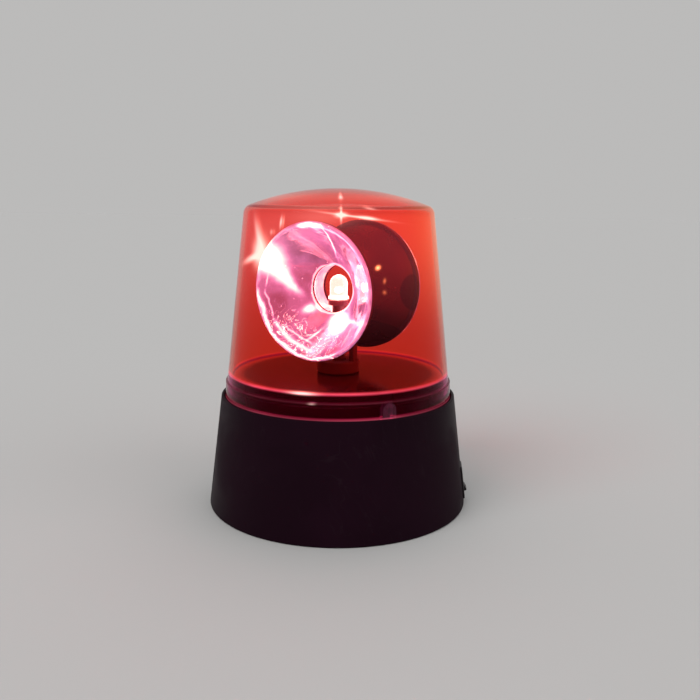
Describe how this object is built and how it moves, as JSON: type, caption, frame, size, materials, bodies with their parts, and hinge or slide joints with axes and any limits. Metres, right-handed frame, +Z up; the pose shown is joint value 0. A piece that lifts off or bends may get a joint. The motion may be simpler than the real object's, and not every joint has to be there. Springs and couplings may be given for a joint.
{
  "type": "led strobe beacon",
  "caption": "Small battery beacon lamp: black tapered base with a rocker switch, clear red dome, back-to-back mirror bowls turning round an LED.",
  "frame": {"origin": "centre of the ring that the base stands on, on the surface that it stands on", "axes": "+Z up along the dome's axis; +X out through the rocker switch; the picture looks along +Y, turned 5 degrees so that the switch is a little nearer"},
  "size_m": [0.101, 0.0998, 0.1201],
  "materials": {
    "base_black": "fine satin texture",
    "deck_black": "smooth moulded",
    "dome_red": "clear red, polished",
    "gear_black": "moulded",
    "switch_black": "moulded",
    "mirror_coat": "metallised plastic",
    "lamp_clear": "clear epoxy, lit",
    "steel": "zinc plated",
    "brass": "plain",
    "cell_jacket": "printed sleeve, left plain",
    "board_green": "solder mask",
    "chip_black": "moulded",
    "can_grey": "sleeved can",
    "lead_red": "soft insulation",
    "lead_black": "soft insulation"
  },
  "bodies": {
    "base": {"base_housing": "base_black", "base_screw_1": "steel", "base_screw_2": "steel", "base_screw_3": "steel", "battery_case": "base_black", "battery_cell_1": "cell_jacket", "battery_cell_2": "cell_jacket", "battery_cell_3": "cell_jacket", "battery_contact_negative": "brass", "battery_contact_positive": "brass", "battery_link_front": "brass", "battery_link_rear": "brass", "battery_spring_1": "steel", "battery_spring_2": "steel", "battery_spring_3": "steel", "battery_wire_black": "lead_black", "battery_wire_red": "lead_red", "deck": "deck_black", "deck_screw_1": "steel", "deck_screw_2": "steel", "deck_screw_3": "steel", "dome": "dome_red", "driver_board": "board_green", "driver_capacitor": "can_grey", "driver_chip": "chip_black", "gear_plate": "gear_black", "idler_axle": "steel", "lamp_post": "gear_black", "lamp_wire_black": "lead_black", "lamp_wire_red": "lead_red", "led_lamp": "lamp_clear", "motor_can": "steel", "motor_end_cap": "gear_black", "motor_terminal_1": "brass", "motor_terminal_2": "brass", "motor_wire_black": "lead_black", "motor_wire_red": "lead_red", "plate_screw_1": "steel", "plate_screw_2": "steel", "plate_screw_3": "steel", "switch_housing": "switch_black", "switch_terminal_1": "brass", "switch_terminal_2": "brass", "switch_wire": "lead_red"},
    "turret": {"turret_frame": "gear_black", "turret_gear": "gear_black", "reflector_front": "mirror_coat", "reflector_rear": "mirror_coat"},
    "idler": {"idler_gear": "gear_black"},
    "motor_rotor": {"motor_shaft": "steel", "motor_pinion": "brass"},
    "rocker": {"switch_rocker": "switch_black"},
    "door": {"battery_door": "base_black", "battery_door_screw": "steel"}
  },
  "joints": [
    {"name": "turret_spin", "type": "hinge", "parent": "base", "child": "turret", "pos_m": [0, 0, 0.0494], "axis": [0, 0, 1], "continuous": true},
    {"name": "idler_spin", "type": "hinge", "parent": "base", "child": "idler", "pos_m": [-0.0175, 0, 0.0425], "axis": [0, 0, 1], "continuous": true},
    {"name": "motor_spin", "type": "hinge", "parent": "base", "child": "motor_rotor", "pos_m": [-0.01, -0.01299, 0.0405], "axis": [0, 0, 1], "continuous": true},
    {"name": "rocker_tip", "type": "hinge", "parent": "base", "child": "rocker", "pos_m": [0.04747, 0, 0.00832], "axis": [0, 1, 0], "range_deg": [0, 26]},
    {"name": "battery_door_swing", "type": "hinge", "parent": "base", "child": "door", "pos_m": [0, -0.02715, 0.0018], "axis": [-1, 0, 0], "range_deg": [0, 100]}
  ],
  "couplings": [
    {"joint": "idler_spin", "follows": "turret_spin", "ratio": -6},
    {"joint": "motor_spin", "follows": "turret_spin", "ratio": 30}
  ]
}
